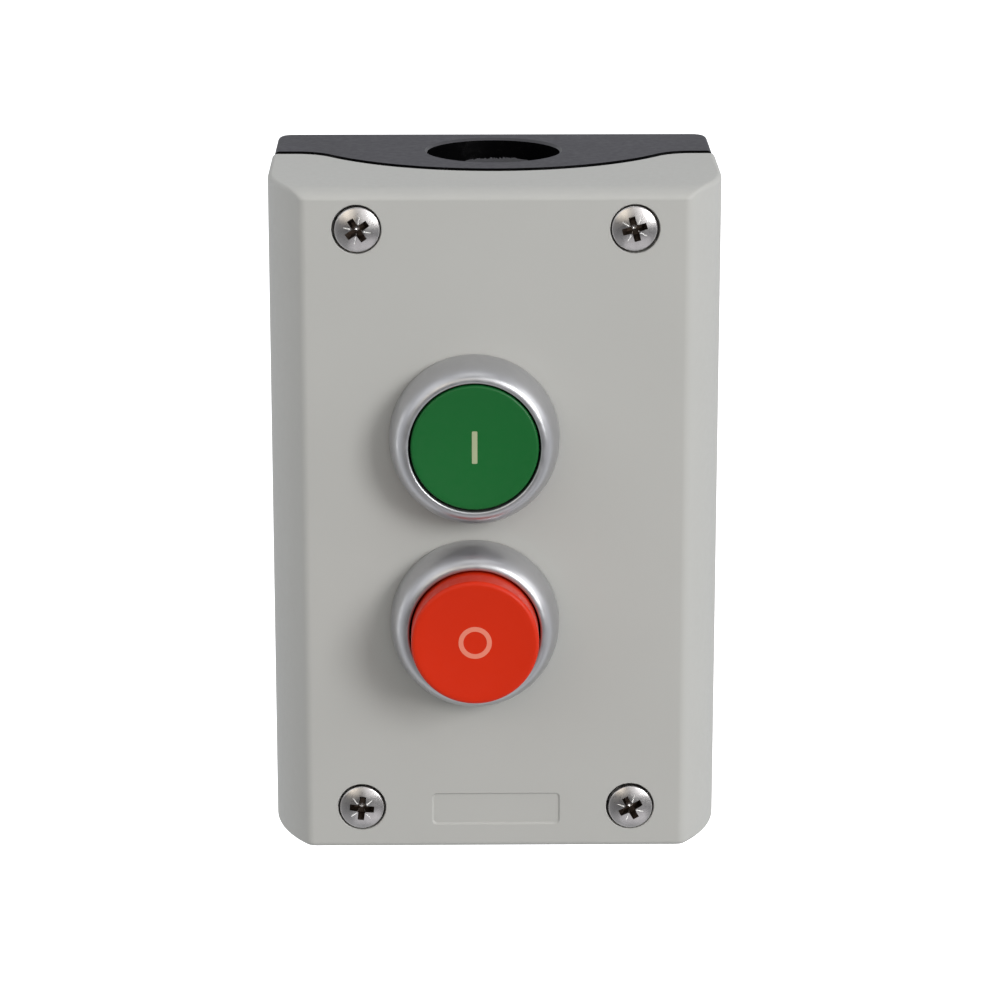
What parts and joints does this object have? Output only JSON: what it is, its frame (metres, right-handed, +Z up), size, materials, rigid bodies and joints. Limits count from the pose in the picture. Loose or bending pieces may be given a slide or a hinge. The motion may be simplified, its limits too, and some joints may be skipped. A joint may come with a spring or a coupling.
{
  "type": "industrial push button station",
  "caption": "Surface-mounted push button station: grey cover on a black base, flush green start button above an extended red stop button, sprung contact blocks inside.",
  "frame": {"origin": "centre of the back face that lies on the wall", "axes": "+Z up along the tall side, +Y into the wall, +X to the right when facing the buttons"},
  "size_m": [0.08, 0.0698, 0.12],
  "materials": {
    "cover_plastic": "fine moulded texture, satin light grey",
    "base_plastic": "fine moulded texture, satin black",
    "seal_rubber": "matt elastomer",
    "screw_steel": "bright steel, lightly brushed",
    "bezel_metal": "satin silver",
    "start_green": "satin green",
    "stop_red": "satin red",
    "moulded_black": "moulded black",
    "block_plastic": "moulded grey",
    "contact_brass": "stamped strip",
    "spring_steel": "drawn wire and zinc-plated sheet"
  },
  "bodies": {
    "case": {"base_box": "base_plastic", "cover": "cover_plastic", "cover_seal": "seal_rubber", "cover_screw_1": "screw_steel", "screw_seal_1": "seal_rubber", "cover_screw_2": "screw_steel", "screw_seal_2": "seal_rubber", "cover_screw_3": "screw_steel", "screw_seal_3": "seal_rubber", "cover_screw_4": "screw_steel", "screw_seal_4": "seal_rubber", "start_bezel": "bezel_metal", "start_panel_seal": "seal_rubber", "start_collar": "moulded_black", "start_ring_nut": "moulded_black", "start_return_spring": "spring_steel", "start_block_housing": "block_plastic", "start_block_plate": "block_plastic", "start_spring": "spring_steel", "start_terminal_upper": "contact_brass", "start_clamp_upper": "spring_steel", "start_terminal_screw_upper": "screw_steel", "start_terminal_lower": "contact_brass", "start_clamp_lower": "spring_steel", "start_terminal_screw_lower": "screw_steel", "stop_bezel": "bezel_metal", "stop_panel_seal": "seal_rubber", "stop_collar": "moulded_black", "stop_ring_nut": "moulded_black", "stop_return_spring": "spring_steel", "stop_block_housing": "block_plastic", "stop_block_plate": "block_plastic", "stop_spring": "spring_steel", "stop_terminal_upper": "contact_brass", "stop_clamp_upper": "spring_steel", "stop_terminal_screw_upper": "screw_steel", "stop_terminal_lower": "contact_brass", "stop_clamp_lower": "spring_steel", "stop_terminal_screw_lower": "screw_steel"},
    "start_button": {"start_cap": "start_green", "start_plunger": "moulded_black"},
    "stop_button": {"stop_cap": "stop_red", "stop_plunger": "moulded_black"},
    "start_contact": {"start_stem": "start_green", "start_bridge": "contact_brass"},
    "stop_contact": {"stop_stem": "stop_red", "stop_bridge": "contact_brass"}
  },
  "joints": [
    {"name": "start_press", "type": "slide", "parent": "case", "child": "start_button", "axis": [0, 1, 0], "range_m": [0, 0.004], "stiffness_N_per_m": 700, "springref_m": -0.002, "deforming": ["start_return_spring"]},
    {"name": "stop_press", "type": "slide", "parent": "case", "child": "stop_button", "axis": [0, 1, 0], "range_m": [0, 0.004], "stiffness_N_per_m": 700, "springref_m": -0.002, "deforming": ["stop_return_spring"]},
    {"name": "start_contact_travel", "type": "slide", "parent": "case", "child": "start_contact", "axis": [0, 1, 0], "range_m": [0, 0.004], "stiffness_N_per_m": 150, "springref_m": -0.002, "deforming": ["start_spring"]},
    {"name": "stop_contact_travel", "type": "slide", "parent": "case", "child": "stop_contact", "axis": [0, 1, 0], "range_m": [0, 0.004], "stiffness_N_per_m": 150, "springref_m": -0.002, "deforming": ["stop_spring"]}
  ],
  "couplings": [
    {"joint": "start_contact_travel", "follows": "start_press", "ratio": 1},
    {"joint": "stop_contact_travel", "follows": "stop_press", "ratio": 1}
  ]
}
